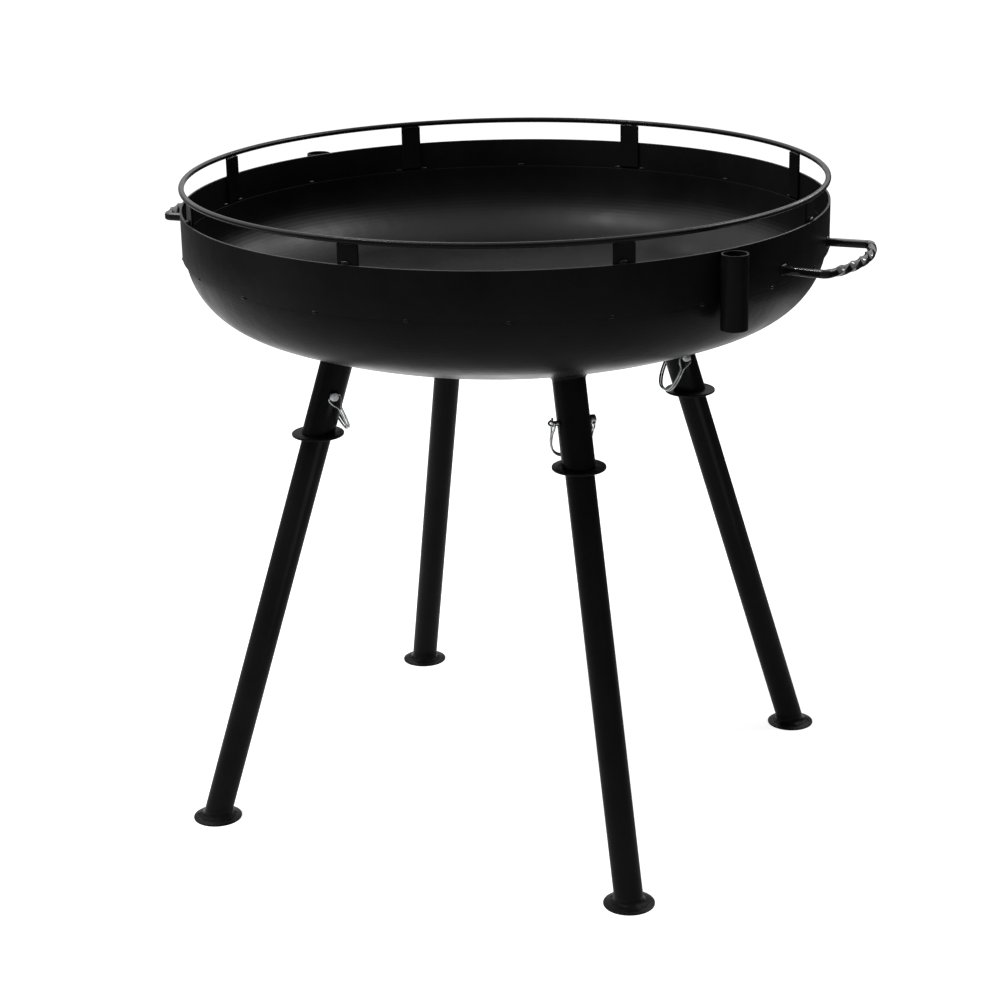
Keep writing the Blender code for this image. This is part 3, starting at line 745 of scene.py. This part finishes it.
def collarMesh(angle):
    # A level ring: its outer edge is a rounded circle, its bore the leg's slanting cylinder cut at the
    # height of each point, an ellipse that is longer by 1 / cos(splay) along the radius
    e, top, thick = leg["collarEdge"], leg["collarTop"], leg["collarThick"]
    q = np.linspace(0, math.pi / 2, 5)
    outR, outZ = leg["collar"] / 2 - e * (1 - np.cos(q)), top - e * (1 - np.sin(q))
    radii = np.concatenate([outR[::-1], outR])
    a = turns(leg["sides"])[:, None]
    out, side = around(1.0, angle), around(1.0, angle + 90)
    along = axisRadius(top - thick / 2) + radii * np.cos(a)
    plan = along[..., None] * out + (radii * np.sin(a))[..., None] * side
    plan[..., 2] = np.concatenate([outZ[::-1], 2 * top - thick - outZ])
    bore, level = leg["diameter"] / 2 + bowl["gap"], np.array([top - thick, top])
    along = axisRadius(level) + bore / math.cos(leg["splay"]) * np.cos(a)
    inside = along[..., None] * out + (bore * np.sin(a) + 0 * level)[..., None] * side
    inside[..., 2] = level
    grid = np.concatenate([plan, inside], 1)
    return meshFromGrid("leg_collar_ring", grid, closeRows=True, closeColumns=True)


def footMesh(angle):
    # Turned plate: flat top, a shallow slope to a thin rounded rim, flat underneath
    edge, high = leg["foot"] / 2, leg["footHeight"]
    slope, rim = leg["footRound"]
    corners = [(0, high), (leg["footFlat"] / 2, high), (edge, leg["footEdge"]), (edge, 0), (0, 0)]
    outline = roundedOutline(corners, [0, slope, rim, rim, 0], 5)[5:-5]      # one point at each pole
    grid = turned(outline, leg["footSides"]) + around(axisRadius(high), angle)
    return meshFromGrid("foot_plate", grid, closeRows=True)


def drill(mesh, axes, centre, radius, length):
    # Bores a round hole along the middle one of three axes through a mesh, with an exact cut
    ends = np.array([-length / 2, length / 2])[:, None, None]
    rod = aroundLeg(centre, radius, turns(40), axes[[0, 2]]) + ends * axes[1]
    block = newObject("drilled", mesh)
    tool = newObject("drill", meshFromGrid("drill", rod, closeColumns=True, capEnds=True))
    cut = block.modifiers.new("hole", "BOOLEAN")
    cut.operation, cut.solver, cut.object = "DIFFERENCE", "EXACT", tool
    bpy.context.view_layer.update()
    result = bpy.data.meshes.new_from_object(block.evaluated_get(bpy.context.evaluated_depsgraph_get()))
    result.name = mesh.name
    for thing in (block, tool):
        bpy.data.objects.remove(thing)
    shadeTo(result)
    return result


# Wire lock pins

pin = {
    "rise": 0.0502,             # up the leg from the collar's top to the pin
    "diameter": 0.0063,
    "hole": 0.00035,            # clearance of its holes
    "drills": (0.09, 0.03),     # lengths, through the leg and through the head
    "tip": 0.007,
    "chamfer": 0.001,
    "under": 0.4,               # chamfer under the head, as a share of that
    "head": 0.011,
    "headLength": 0.0065,
    "sides": 48,
    "wire": 0.0025,
    "wireHole": 0.0003,
    "wireSides": 16,
    "wireStep": 0.0007,         # between rows along the bail
    "wireEnd": 0.0005,          # length over which its ends are rounded
    "tilt": math.radians(23.0),
    "floor": 0.0014,            # room between the bail and the collar
    "headBend": 0.00175,        # bend where the wire leaves the head
    "headCorner": 0.3,          # its middle point, as a share of the bend
    "shoulder": 0.0022,         # how far the bail stands out past the head's middle
    "shoulders": (0.3, 0.6, 0.8),   # points from the head to the loop, as shares
    "curve": 0.0150,            # where the round part of the loop begins, down from the pin
    "loopPoints": 25,
    "fullness": 0.75,           # power of sine and cosine: less than 1 makes the loop squarer
    "heel": 0.0040,             # how far it stands out past the socket on the point's side
    "fork": 0.0044,             # the strands draw together from here
    "joined": 0.0167,           # to here
    "strandGap": 0.0006,
    "eyeRise": 0.0041,
    # the eye over the pin's point: rise, and reach towards the point's end, as shares
    "eye": ((-1.2, 0.0), (0.5, 0.0), (0.9, 0.2), (1.0, 0.5), (0.8, 0.8), (0.3, 1.0)),
}
pin["depth"] = leg["socketLength"] - pin["rise"]
pin["headSeat"] = leg["socketOut"] + bowl["gap"]
pin["headMiddle"] = pin["headSeat"] + pin["headLength"] / 2
pin["tipEnd"] = leg["socketOut"] + pin["tip"]


def pinAxes(angle, side):
    # Rows: down the bail, across it, and towards the pin's head; and the pin's middle
    axes, top = legAxes(angle)
    lean = pin["tilt"] + leg["splay"]
    down = -math.sin(lean) * axes[0] - math.cos(lean) * axes[2]
    head = side * axes[1]
    return np.array([down, np.cross(head, down), head]), top - pin["depth"] * axes[2]


def pinMesh(angle, side):
    # Turned from the head's rounded end to the point, with a small chamfer under the head, and bored
    # across the head for the wire
    head, shank, e = pin["head"] / 2, pin["diameter"] / 2, pin["chamfer"]
    top, seat, small = pin["headSeat"] + pin["headLength"], pin["headSeat"], pin["under"] * e
    q = np.linspace(0, math.pi / 2, 6)
    cosine, sine = 1 - np.cos(q), 1 - np.sin(q)
    crown = np.stack([head - e * sine, top - e * cosine], -1)
    lower = np.stack([head - small * cosine, seat + small * sine], -1)
    point = np.stack([shank - e * cosine, -pin["tipEnd"] + e * sine], -1)
    outline = np.concatenate([[(0, top)], crown, lower, [(shank, seat)], point, [(0, -pin["tipEnd"])]])
    axes, middle = pinAxes(angle, side)
    mesh = meshFromGrid("lock_pin_turned", turned(outline, pin["sides"]) @ axes + middle, closeRows=True)
    cross = middle + pin["headMiddle"] * axes[2]
    return drill(mesh, axes, cross, pin["wire"] / 2 + pin["wireHole"], pin["drills"][1])


def eased(value):
    # 3 v squared - 2 v cubed, from 0 to 1 with level ends
    value = np.clip(value, 0, 1)
    return value * value * (3 - 2 * value)


def bailDepth():
    # How far down its own slope the bail comes before it is the stated room above the collar
    strands = (pin["strandGap"] / 2 + pin["wire"] / 2) * math.sin(pin["tilt"])
    fall = pin["rise"] * math.cos(leg["splay"]) - pin["floor"] - pin["wire"] / 2 - strands
    return fall / math.cos(pin["tilt"])


def bailPath():
    # One strand: out of the head's cross hole, down, round a squarish loop given by powers of sine
    # and cosine, up beside the pin's point, along it and down to the closing bend. The strands stand
    # apart beside the pin and ease together lower down. The other strand is its mirror image.
    half, curve, shoulder, bend = pin["wire"] / 2, pin["curve"], pin["shoulder"], pin["headBend"]
    together = pin["strandGap"] / 2 + half
    besideHead = pin["head"] / 2 + half + bowl["gap"]
    besideTip = pin["diameter"] / 2 + half + pin["hole"]
    far = -(pin["headMiddle"] + leg["socketOut"] + half + pin["heel"])
    corner = pin["headCorner"] * bend
    start = np.array([(0, besideHead - 2 * bend, 0), (0, besideHead - bend, 0),
                      (corner, besideHead - corner, 0), (bend, besideHead, 0)])
    share, a = np.array(pin["shoulders"]), np.linspace(0, math.pi, pin["loopPoints"])
    down = np.concatenate([share * curve, curve + (bailDepth() - curve) * np.sin(a) ** pin["fullness"]])
    across = np.sign(np.cos(a)) * np.abs(np.cos(a)) ** pin["fullness"]
    along = np.concatenate([share * shoulder, (shoulder + far) / 2 + (shoulder - far) / 2 * across])
    nearHead = np.arange(len(down)) < len(share) + pin["loopPoints"] // 2
    apart = np.where(nearHead, besideHead, besideTip)
    offset = apart + (together - apart) * eased((down - pin["fork"]) / (pin["joined"] - pin["fork"]))
    loop = np.stack([down, offset, along], -1)
    end = -(pin["headMiddle"] + pin["tipEnd"]) + pin["chamfer"]
    rise, reach = np.array(pin["eye"]).T
    eye = np.stack([-rise * pin["eyeRise"], 0 * rise + besideTip, far + reach * (end - far)], -1)
    q = np.radians([30, 60, 90])
    close = np.stack([0 * q, besideTip * np.cos(q), end - besideTip * np.sin(q)], -1)
    strand = np.concatenate([start, loop, eye, close])
    return np.concatenate([strand, strand[-2::-1] * [1, -1, 1]])


def bailMesh(angle, side):
    # A circle carried along both strands, rounded off at the ends in the head
    axes, middle = pinAxes(angle, side)
    path = resampled(bailPath(), pin["wireStep"]) + [0, 0, pin["headMiddle"]]
    ends = np.minimum(np.arange(len(path)), np.arange(len(path))[::-1]) * pin["wireStep"]
    size = roundedEnd(ends / pin["wireEnd"], 0.3)
    grid = carried(path, circle(pin["wire"] / 2, pin["wireSides"]), size=size)
    return meshFromGrid("bail_wire", grid @ axes + middle, closeColumns=True, capEnds=True)


for name, (angle, side) in leg["names"].items():
    axes, top = legAxes(angle)
    hole = (axes, top - pin["depth"] * axes[2], pin["diameter"] / 2 + pin["hole"], pin["drills"][0])
    addPiece("socket_" + name, drill(socketMesh(angle), *hole), tubeCoat, stands=["leg_socket_" + name])
    addPiece("leg_" + name, drill(legMesh(angle), *hole), legCoat, stands=["leg_tube_" + name])
    addPiece("collar_" + name, collarMesh(angle), tubeCoat, stands=["leg_collar_" + name])
    addPiece("foot_" + name, footMesh(angle), tubeCoat, stands=["foot_disc_" + name])
    for part, mesh, body in (("pin_", pinMesh(angle, side), "lock_pin_" + name),
                             ("bail_", bailMesh(angle, side), "pin_bail_" + name)):
        addPiece(part + name, mesh, zincCoat, body, [body])
print("legs and lock pins done")


# Weld beads and tacks

weld = {
    "step": 0.0005,             # between rows along a bead
    "sides": 18,
    "crease": 60.0,
    "ripple": 0.0024,           # length of one ripple along a bead
    "ripplePart": 0.09,         # its height as a share of the bead's radius
    "lag": 0.9,                 # how far the ripples curve back at the bead's sides, in ripples
    "wander": 0.07,
    "phases": 6.28,             # range of the random starts of the slow sines
    "waves": (1, 2, 3),         # of the slow sines round a closed seam
    "openWaves": (1.3, 2.2, 3.7),
    "collarBead": 0.0022,       # radius of each kind of bead
    "handleBead": 0.0015,
    "holderBead": 0.0023,
    "collarOut": 0.0002,        # middle of the bead outside the leg
    "handleCorner": 0.002,
    "holderOut": 0.0007,        # middle of the bead outside the band
    "holderBeside": 0.0052,     # and beside the line where holder and band touch
    "holderEnds": (0.004, 0.006),   # above the band's bottom and below the holder's top
    "footSize": (0.0070, 0.0075),   # fillet between leg and foot: out on the plate, up the tube
    "dishSize": (0.0060, 0.0052),   # fillet between socket and dish
    "uneven": ((2, 0.14), (5, 0.09), (13, 0.05)),   # waves round a fillet and their sizes
    "sunk": 0.0012,             # how deep a fillet's hidden sides lie in its neighbours
    "footDull": 0.35,           # highest "upward" of the foot's fillet
}


def bead(path, radius, closed=False, seed=0):
    # A round section carried along the seam. Its radius rises and falls by the size of a sine along
    # the seam, a ripple late at the sides, so that the ripples are crescents; three slow sines add
    # unevenness, and at open ends it rounds off like a quarter circle.
    path = resampled(path, weld["step"], closed)
    s, full = np.arange(len(path))[:, None] * weld["step"], len(path) * weld["step"]
    a = turns(weld["sides"])[None, :]
    turn = math.pi * (s / full * max(1, round(full / weld["ripple"]))) + weld["lag"] * np.sin(2 * a) ** 2
    size = 1 + weld["ripplePart"] * (np.abs(np.sin(turn)) * 2 - 1)
    phase = np.random.default_rng(seed).uniform(0, weld["phases"], 3)
    for k, wave in enumerate(weld["waves"] if closed else weld["openWaves"]):
        size = size + weld["wander"] / (k + 1) * np.sin(wave * (2 * math.pi * s / full) + phase[k])
    if not closed:
        size = size * roundedEnd(np.minimum(s, s[::-1]) / radius, 0.02)
    return carried(path, radius * circle(1.0, weld["sides"]), closed, size)


def addBead(name, path, radius, closed=True, seed=0):
    # A bead as a piece of its own, with flat faces over open ends
    mesh = meshFromGrid(name + "_mesh", bead(path, radius, closed, seed), closeRows=closed,
                        closeColumns=True, capEnds=not closed, sharp=weld["crease"])
    addPiece(name, mesh, weldCoat)


def slantRing(angle, radius, end):
    # A circle about the leg, each point moved along the leg to a surface
    axes, top = legAxes(angle)
    start = aroundLeg(top, radius, turns(72), axes)
    return start + end(axes, top, start)[..., None] * axes[2]


def filletMesh(angle, radius, surface, way, size, seed):
    # Hollow weld where a tube along the leg meets a surface. For t from 0 to 1 its face lies
    # wide (1 - t) squared out of the tube and high t squared along the tube from the surface, and it
    # closes inside both. Three sines round the tube make it uneven.
    axes, top = legAxes(angle)
    a, t = turns(leg["sides"])[:, None], np.linspace(0, 1, 9)
    phase = np.random.default_rng(seed).uniform(0, 2 * math.pi, 3)
    uneven = 1 + sum(k * np.sin(w * a + q) for (w, k), q in zip(weld["uneven"], phase))
    sunk = 0 * a - weld["sunk"]
    outward = np.concatenate([uneven * size[0] * (1 - t) ** 2, sunk, sunk], 1)
    rise = np.concatenate([uneven * size[1] * t ** 2, uneven * size[1], sunk], 1)
    rise[:, 0] = -weld["sunk"]
    start = aroundLeg(top, radius + outward, a, axes)
    reach = surface(axes, top, start) + way * rise
    return meshFromGrid("fillet", start + reach[..., None] * axes[2], closeRows=True, closeColumns=True,
                        sharp=weld["crease"])


for n, (name, (angle, _)) in enumerate(leg["names"].items()):
    onDish = filletMesh(angle, leg["socketOut"], toDish, -1, weld["dishSize"], n)
    addPiece("socketWeld_" + name, onDish, tubeCoat)
    under = toLevel(leg["collarTop"] - leg["collarThick"])
    ring = slantRing(angle, leg["diameter"] / 2 + weld["collarOut"], under)
    addBead("collarWeld_" + name, ring, weld["collarBead"], seed=10 + n)
    onFoot = filletMesh(angle, leg["diameter"] / 2, toLevel(leg["footHeight"]), 1, weld["footSize"], 20 + n)
    addPiece("footWeld_" + name, onFoot, tubeCoat,
             adjust=lambda places, upward: np.minimum(upward, weld["footDull"]))

for side, angle in handle["places"].items():
    for n, y in enumerate((-handle["spread"] / 2, handle["spread"] / 2)):
        h, z = handle["bar"] / 2, bowl["rim"] - handle["drop"]
        square = [(y + h, z + h), (y - h, z + h), (y - h, z - h), (y + h, z - h)]
        across, level = roundedOutline(square, weld["handleCorner"], 6).T
        path = turnedTo(angle, np.sqrt(bowl["radius"] ** 2 - across ** 2), across, level)
        addBead("handleWeld_%s_%d" % (side, n + 1), path, weld["handleBead"], seed=30 + n)

for side, angle in holder["places"].items():
    for n, way in enumerate((-1, 1)):
        offset = math.degrees(math.atan2(weld["holderBeside"], bowl["radius"])) * way
        low, high = bowl["bandBottom"] + weld["holderEnds"][0], holder["top"] - weld["holderEnds"][1]
        rise = np.linspace(low, high, 12)[:, None] * [0, 0, 1]
        path = around(bowl["radius"] + weld["holderOut"], angle + offset) + rise
        addBead("holderWeld_%s_%d" % (side, n + 1), path, weld["holderBead"], closed=False, seed=40 + n)

# sizes are half width, height and thickness; places are outwards and up from the seam
tacks = {
    "edgeSize": (0.0050, 0.0023, 0.0018),   # dish to band inside
    "edgeAt": (0.0002, 0.0009),
    "besidePost": 2.5,                      # degrees from a post's middle
    "lapSize": (0.0040, 0.0023, 0.0024),    # band's lower edge to the dish outside
    "lapAt": (-0.0016, -0.0006),
    "lapCount": 22,
    "lapFirst": -112.8,
    "postSize": (0.0056, 0.0031, 0.0026),   # rim to post
    "postAt": (0.0008, 0.0016),
    "postTurn": -0.3,                       # degrees from the post's middle
    "railSize": (0.0124, 0.0015, 0.0019),   # post to rail
    "railUp": -0.0004,
    "grid": (12, 20),
    "dents": (0.08, 0.05),
}


def tack(point, out, size, seed):
    # A flattened round blob: half a wave from pole to pole, its three half-sizes along the seam, up
    # the wall and out of it, dented by two slow sines
    up = np.array([0.0, 0.0, 1.0])
    wide, high, proud = size
    lat, lon = np.linspace(0, math.pi, tacks["grid"][0])[:, None], turns(tacks["grid"][1])[None, :]
    p = np.random.default_rng(seed).uniform(0, weld["phases"], 2)
    wave, ripple = tacks["dents"]
    belly = np.sin(lat)
    dent = 1 + wave * np.sin(3 * lon + p[0]) * belly + ripple * np.sin(5 * lon + p[1]) * belly ** 2
    x, y, z = belly * np.cos(lon) * dent, belly * np.sin(lon) * dent, np.cos(lat) + 0 * lon
    side = np.cross(up, out)
    return point + (x * wide)[..., None] * side + (y * high)[..., None] * up + (z * proud)[..., None] * out


inside, outside, posts = [], [], []
face = bowl["radius"] - bowl["sheet"] - bowl["gap"]
for i in range(rail["posts"]):
    middle = 360.0 * i / rail["posts"]
    for k, extra in enumerate((-tacks["besidePost"], tacks["besidePost"], 180.0 / rail["posts"])):
        out, rise = tacks["edgeAt"]
        place = around(bowl["dishRadius"] + out, middle + extra, bowl["dishEdge"] + rise)
        inside.append(tack(place, -around(1.0, middle + extra), tacks["edgeSize"], 100 + 3 * i + k))
    out, rise = tacks["postAt"]
    place = around(face + out, middle + tacks["postTurn"], bowl["rim"] + rise)
    posts.append(tack(place, around(1.0, middle), tacks["postSize"], 300 + i))
    place = around(face - rail["postThick"] / 2, middle, rail["height"] - rail["rod"] / 2 + tacks["railUp"])
    posts.append(tack(place, around(1.0, middle), tacks["railSize"], 320 + i))
for i in range(tacks["lapCount"]):
    angle = tacks["lapFirst"] + 360.0 * i / tacks["lapCount"]
    out, rise = tacks["lapAt"]
    place = around(bowl["radius"] + out, angle, bowl["bandBottom"] + rise)
    outside.append(tack(place, around(1.0, angle), tacks["lapSize"], 200 + i))
for name, grids in (("dishTacks", inside), ("bandTacks", outside), ("postTacks", posts)):
    addPiece(name, joinGrids(name + "_mesh", grids, closeColumns=True), weldCoat)
print("welds done")


# Floor, light and camera

studio = {
    "floor": 16.0,              # radius
    "white": 0.86,
    "matt": 0.9,
    "floorGlow": 0.80,
    "skyForLight": 0.24,
    "aim": 0.62,                # height of the cards' middle
    "cards": {                  # lowest and highest elevation, middle and half of azimuth, distance, level
        "ceiling": (54, 90, 0, 180, 3.6, 0.50),
        "frontCard": (3, 54, -64, 72, 3.6, 0.16),
        "lowFrontCard": (-15, 3, -64, 62, 2.25, 0.55),
        "lowRightCard": (-15, 13, 47, 65, 2.25, 0.06),
        "rightStep": (-24, -13, 47, 65, 1.5, 0.15),
        "lowLeftCard": (-15, 13, 165, 42, 2.25, 0.30),
    },
    "lamps": {                  # place, target, width, height, watts, and whether shiny surfaces show it
        "topBox": ((-0.85, -0.95, 2.8), (0, 0, 0.6), 1.6, 1.6, 62.0, False),
        "rightBox": ((1.55, 1.44, 2.72), (0, 0, 0.6), 0.75, 0.75, 15.5, True),
        "leftBox": ((-1.12, -0.90, 3.22), (0, 0, 0.6), 0.42, 0.42, 12.0, True),
        "backBox": ((-1.20, 1.25, 3.00), (0, 0, 0.6), 0.60, 0.40, 3.6, True),
        "gripBox": ((0.83, 2.54, 1.98), (0.4, 0, 0.7), 0.35, 0.35, 5.0, True),
    },
    "lens": 85.55,
    "sensor": 36.0,
    "distance": 2.7695,
    "height": 1.3013,
    "turn": math.radians(26.0),
    "pitch": math.radians(18.7514),
    "yaw": math.radians(-0.2627),
    "roll": math.radians(1.1333),
}


def discMesh(name, radius):
    # x = r cos a, y = r sin a on the ground
    r = np.linspace(0, 1, 2)[:, None] * radius
    a = turns(48)[None, :]
    return meshFromGrid(name, np.stack([r * np.cos(a), r * np.sin(a), 0 * r * a], -1), closeColumns=True)


def cardMesh(name, low, high, middle, half, distance):
    # Part of a sphere about the bowl: x = d cos e cos a, y = d cos e sin a, z = aim + d sin e
    e = np.radians(np.linspace(low, high, 12))[:, None]
    a = np.radians(np.linspace(middle - half, middle + half, 49))[None, :]
    grid = distance * np.stack([np.cos(e) * np.cos(a), np.cos(e) * np.sin(a), np.sin(e) + 0 * a], -1)
    return meshFromGrid(name, grid + [0, 0, studio["aim"]])


def seenDirectly(tree):
    # 1 for rays of the camera and of glossy and clear surfaces, 0 for those that only carry light
    rays = tree.nodes.new("ShaderNodeLightPath")
    most = rays.outputs["Is Camera Ray"]
    for kind in ("Is Glossy Ray", "Is Transmission Ray"):
        most = mathNode(tree, "MAXIMUM", most, rays.outputs[kind])
    return most


def floorPaint():
    # Matt white that also glows a little where it is seen, so that only shadows fall below white
    paint, tree, shader, _ = newFinish("floor_white")
    setInputs(shader, {"Base Color": (studio["white"],) * 3 + (1.0,), "Roughness": studio["matt"],
                       "Specular IOR Level": 0.0, "Emission Color": (1, 1, 1, 1)})
    wire(tree, rangeNode(tree, seenDirectly(tree), 0, 1, 0.0, studio["floorGlow"]),
         shader.inputs["Emission Strength"])
    return paint


def cardPaint(name, level):
    # An even grey that is only seen in shiny surfaces
    paint, _, shader, _ = newFinish(name)
    setInputs(shader, {"Base Color": (0, 0, 0, 1), "Specular IOR Level": 0.0,
                       "Emission Color": (1, 1, 1, 1), "Emission Strength": level})
    return paint


def whiteSky():
    # White where it is seen, and weaker as light
    world = bpy.data.worlds.new("studio")
    bpy.context.scene.world = world
    world.use_nodes = True
    tree = world.node_tree
    back = tree.nodes["Background"]
    back.inputs["Color"].default_value = (1, 1, 1, 1)
    wire(tree, rangeNode(tree, seenDirectly(tree), 0, 1, studio["skyForLight"], 1.0), back.inputs["Strength"])


def softbox(name, place, target, width, height, power, mirrored):
    lamp = bpy.data.lights.new(name, "AREA")
    lamp.shape, lamp.size, lamp.size_y, lamp.energy = "RECTANGLE", width, height, power
    thing = newObject(name, lamp)
    thing.location = place
    thing.rotation_euler = (Vector(target) - Vector(place)).to_track_quat("-Z", "Y").to_euler()
    thing.visible_glossy = mirrored


def addCamera():
    # It looks along +Y from in front, turned by yaw, pitch and roll, and all that about the bowl's axis
    lens = bpy.data.cameras.new("camera")
    lens.lens, lens.sensor_width, lens.sensor_fit = studio["lens"], studio["sensor"], "HORIZONTAL"
    camera = newObject("camera", lens)
    yaw, pitch, roll = studio["yaw"], studio["pitch"], studio["roll"]
    forward = Vector((math.sin(yaw) * math.cos(pitch), math.cos(yaw) * math.cos(pitch), -math.sin(pitch)))
    right = Vector((math.cos(yaw), -math.sin(yaw), 0.0))
    above = right.cross(forward)
    tilted = Matrix((right * math.cos(roll) - above * math.sin(roll),
                     above * math.cos(roll) + right * math.sin(roll), -forward)).transposed()
    place = Vector((0, -studio["distance"], studio["height"]))
    stand = Matrix.LocRotScale(place, tilted.to_quaternion(), None)
    camera.matrix_world = Matrix.Rotation(studio["turn"], 4, "Z") @ stand
    bpy.context.scene.camera = camera


floor = newObject("floor", discMesh("floor_disc", studio["floor"]))
floor.data.materials.append(floorPaint())
for name, (*place, level) in studio["cards"].items():
    card = newObject(name, cardMesh(name + "_mesh", *place))
    card.data.materials.append(cardPaint(name + "_grey", level))
    card.visible_camera = card.visible_diffuse = card.visible_shadow = False
whiteSky()
for name, settings in studio["lamps"].items():
    softbox(name, *settings)
addCamera()
bpy.context.scene.view_settings.view_transform = "Standard"
print("stage, light and camera done")
